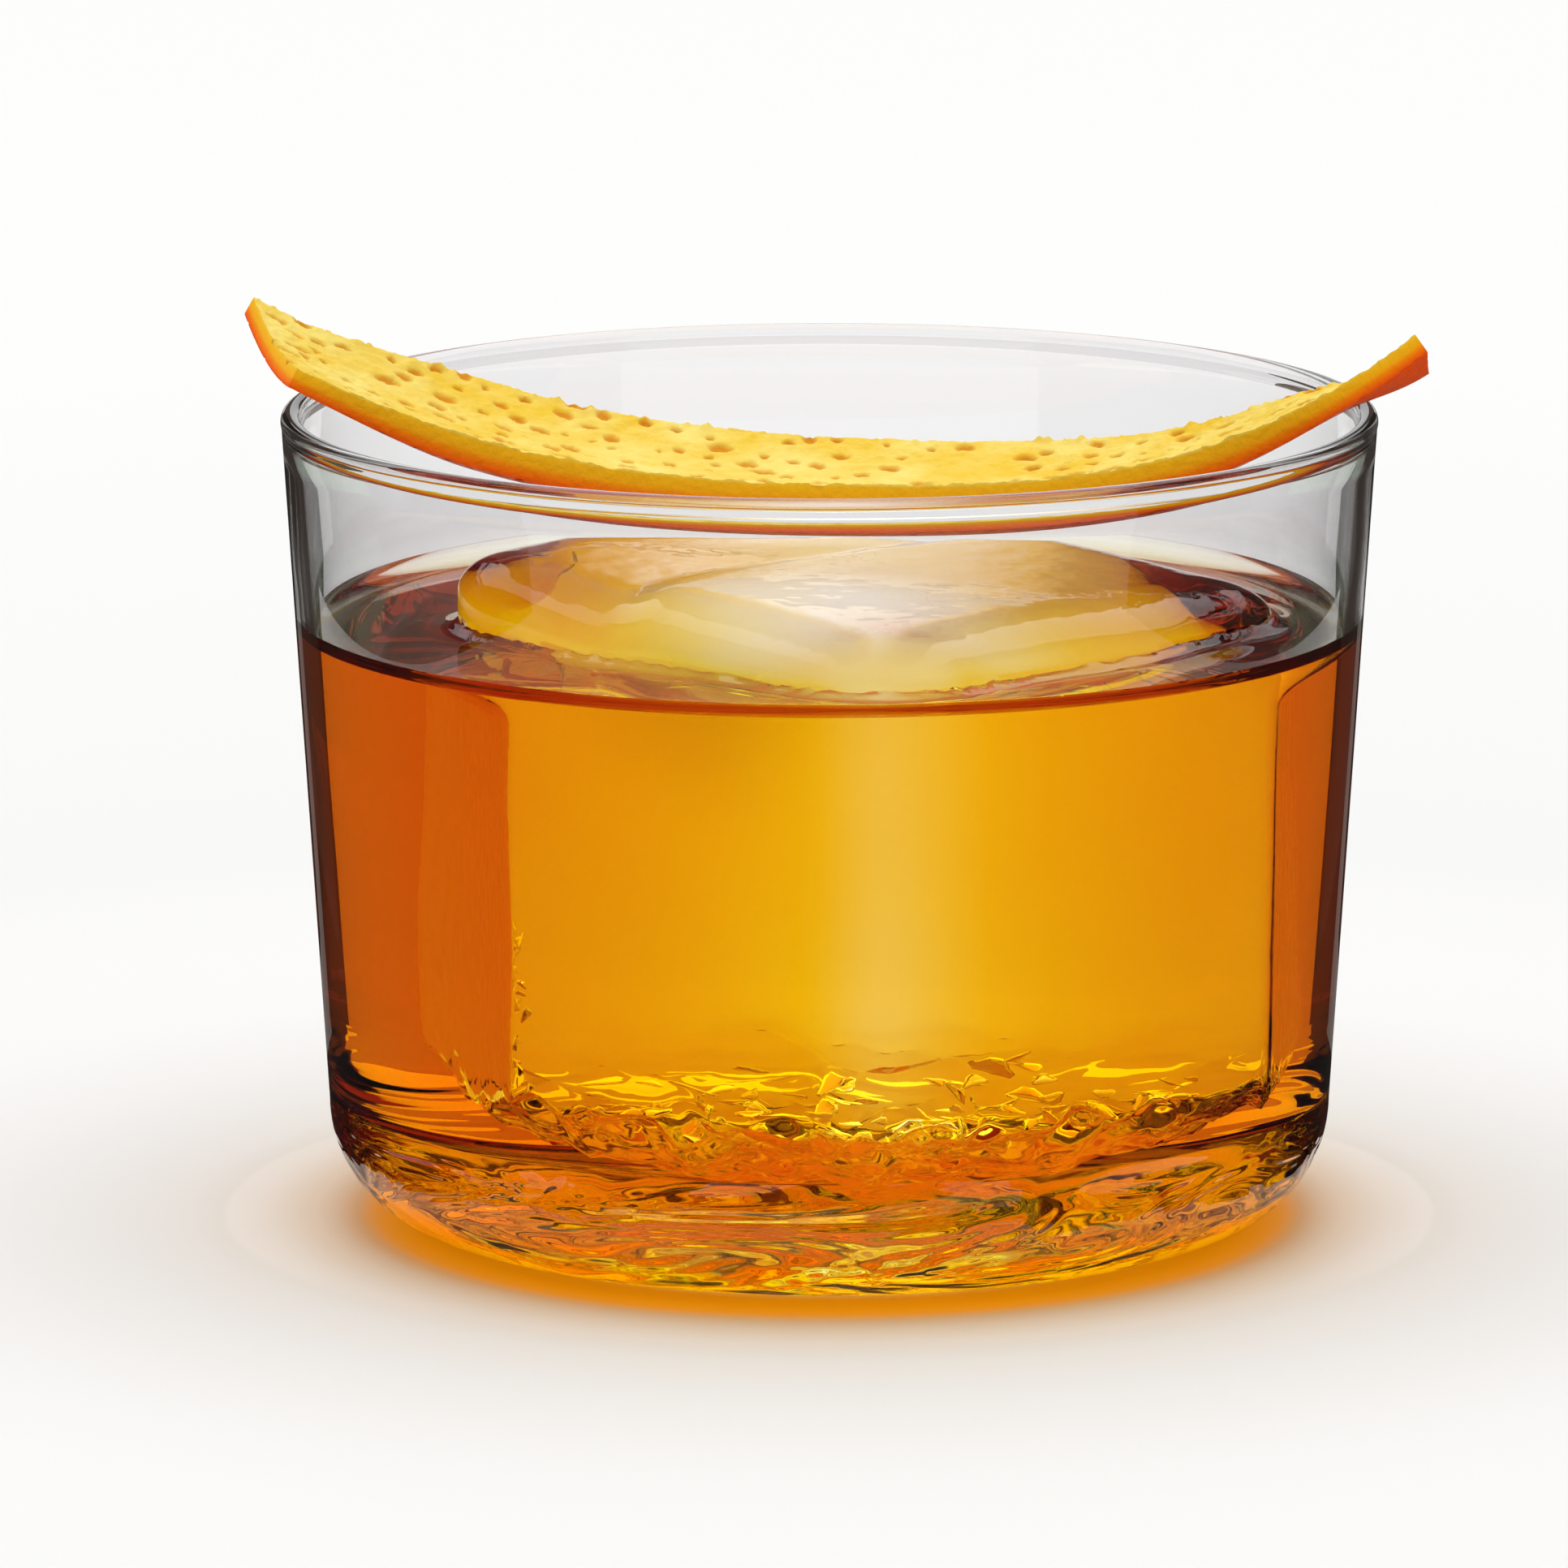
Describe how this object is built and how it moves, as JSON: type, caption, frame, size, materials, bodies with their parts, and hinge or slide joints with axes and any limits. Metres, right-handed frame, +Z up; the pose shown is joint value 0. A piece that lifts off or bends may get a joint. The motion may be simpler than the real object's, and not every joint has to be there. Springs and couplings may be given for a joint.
{
  "type": "old fashioned cocktail",
  "caption": "Low clear tumbler of amber drink with a large clear block of ice and a long strip of orange peel laid across the rim.",
  "frame": {"origin": "centre of the tumbler's foot, on the surface that it stands on", "axes": "+Z up along the tumbler's axis, -Y towards the front where the ice shows a corner, +X to the right along the peel"},
  "size_m": [0.0893, 0.0826, 0.0682],
  "materials": {
    "clear_glass": "polished",
    "amber_drink": "clear liquid",
    "clear_ice": "wet, clear",
    "peel": "matt pith, glossy zest"
  },
  "bodies": {
    "root": {"tumbler": "clear_glass", "drink": "amber_drink", "ice_block": "clear_ice", "orange_peel": "peel"}
  },
  "joints": []
}
